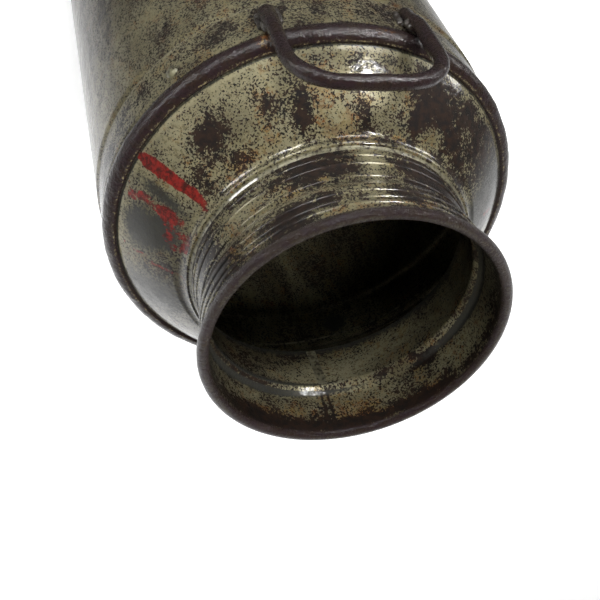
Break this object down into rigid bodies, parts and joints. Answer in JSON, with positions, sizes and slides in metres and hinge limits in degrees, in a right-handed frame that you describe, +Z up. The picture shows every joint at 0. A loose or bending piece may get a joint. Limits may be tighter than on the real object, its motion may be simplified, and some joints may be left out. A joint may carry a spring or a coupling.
{
  "type": "milk can",
  "caption": "Open-mouthed steel milk can with a rolled rim, a stepped neck, a sloping breast, a shoulder hoop, a foot hoop and bent-rod side handles.",
  "frame": {"origin": "centre of the foot hoop's underside, at floor level", "axes": "+Z up the can's axis to the open mouth, -Y towards the front handle, +X to the right of it"},
  "size_m": [0.33, 0.3328, 0.6222],
  "materials": {
    "tinned_steel": "old tinned sheet, stained olive-brown under glossy clear varnish",
    "rusted_steel": "dark brown rust, pitted, under glossy clear varnish",
    "wire": "plain steel wire",
    "weld": "lumpy grey weld metal",
    "solder": "dull grey solder"
  },
  "bodies": {
    "root": {"body_seam_solder": "solder", "body_shell": "tinned_steel", "bottom_hoop": "rusted_steel", "bottom_pan": "tinned_steel", "breast": "tinned_steel", "breast_hoop": "rusted_steel", "breast_solder": "solder", "front_handle": "rusted_steel", "front_left_weld": "weld", "front_right_weld": "weld", "hoop_rivet": "wire", "neck_bowl": "tinned_steel", "neck_seam_solder": "solder", "neck_solder_inner": "solder", "neck_solder_outer": "solder", "pan_solder": "solder", "rear_handle": "rusted_steel", "rear_left_weld": "weld", "rear_right_weld": "weld", "rim_wire": "wire", "skirt_solder": "solder"}
  },
  "joints": []
}
